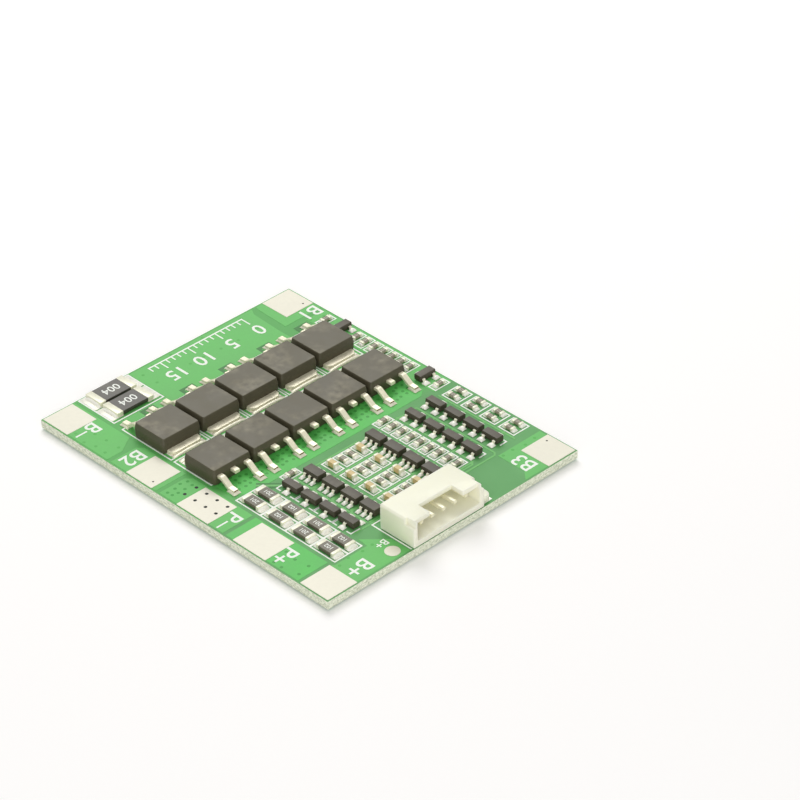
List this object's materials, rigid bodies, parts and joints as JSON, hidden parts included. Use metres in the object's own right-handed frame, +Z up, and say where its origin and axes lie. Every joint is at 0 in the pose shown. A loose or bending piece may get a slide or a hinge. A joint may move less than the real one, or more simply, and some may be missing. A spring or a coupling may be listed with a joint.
{
  "type": "battery management board",
  "caption": "Green circuit board with two rows of power transistors, monitor chips, balancing and sense resistors, tinned solder pads along two edges and a side-entry header.",
  "frame": {"origin": "centre of the board's underside", "axes": "+X along the 56 mm edge towards the header's mouth, +Y along the 45 mm edge, +Z up from the underside to the component side"},
  "size_m": [0.056, 0.045, 0.0051],
  "materials": {
    "green_laminate": "solder mask over glass-fibre laminate, satin",
    "solder_finish": "hot-levelled tin, satin",
    "tinned_lead": "tin plated, satin",
    "moulded_epoxy": "moulded epoxy, matte",
    "dark_ceramic": "glazed resistor face",
    "tan_ceramic": "fired ceramic, satin",
    "cream_nylon": "moulded nylon, satin"
  },
  "bodies": {
    "root": {"balance_resistor_1": "dark_ceramic", "balance_resistor_2": "dark_ceramic", "balance_resistor_3": "dark_ceramic", "balance_resistor_4": "dark_ceramic", "balance_resistor_5": "dark_ceramic", "balance_resistor_6": "dark_ceramic", "balance_resistor_7": "dark_ceramic", "balance_resistor_8": "dark_ceramic", "balance_resistor_terminals": "tinned_lead", "chip_capacitor_ends": "tinned_lead", "chip_capacitors": "tan_ceramic", "chip_resistor_ends": "tinned_lead", "chip_resistors": "dark_ceramic", "circuit_board": "green_laminate", "connector_anchor": "tinned_lead", "connector_housing": "cream_nylon", "connector_pins": "tinned_lead", "monitor_chip_1": "moulded_epoxy", "monitor_chip_2": "moulded_epoxy", "monitor_chip_3": "moulded_epoxy", "monitor_chip_4": "moulded_epoxy", "monitor_chip_5": "moulded_epoxy", "monitor_chip_6": "moulded_epoxy", "monitor_chip_7": "moulded_epoxy", "monitor_chip_8": "moulded_epoxy", "monitor_chip_leads": "tinned_lead", "power_transistor_body_01": "moulded_epoxy", "power_transistor_body_02": "moulded_epoxy", "power_transistor_body_03": "moulded_epoxy", "power_transistor_body_04": "moulded_epoxy", "power_transistor_body_05": "moulded_epoxy", "power_transistor_body_06": "moulded_epoxy", "power_transistor_body_07": "moulded_epoxy", "power_transistor_body_08": "moulded_epoxy", "power_transistor_body_09": "moulded_epoxy", "power_transistor_body_10": "moulded_epoxy", "power_transistor_leads_01": "tinned_lead", "power_transistor_leads_02": "tinned_lead", "power_transistor_leads_03": "tinned_lead", "power_transistor_leads_04": "tinned_lead", "power_transistor_leads_05": "tinned_lead", "power_transistor_leads_06": "tinned_lead", "power_transistor_leads_07": "tinned_lead", "power_transistor_leads_08": "tinned_lead", "power_transistor_leads_09": "tinned_lead", "power_transistor_leads_10": "tinned_lead", "shunt_resistor_1": "dark_ceramic", "shunt_resistor_2": "dark_ceramic", "shunt_terminals": "tinned_lead", "small_transistor_leads_edge": "tinned_lead", "small_transistor_leads_lower": "tinned_lead", "small_transistor_leads_upper": "tinned_lead", "small_transistors_edge": "moulded_epoxy", "small_transistors_lower": "moulded_epoxy", "small_transistors_upper": "moulded_epoxy", "solder_lands": "solder_finish", "terminal_pads": "solder_finish"}
  },
  "joints": []
}
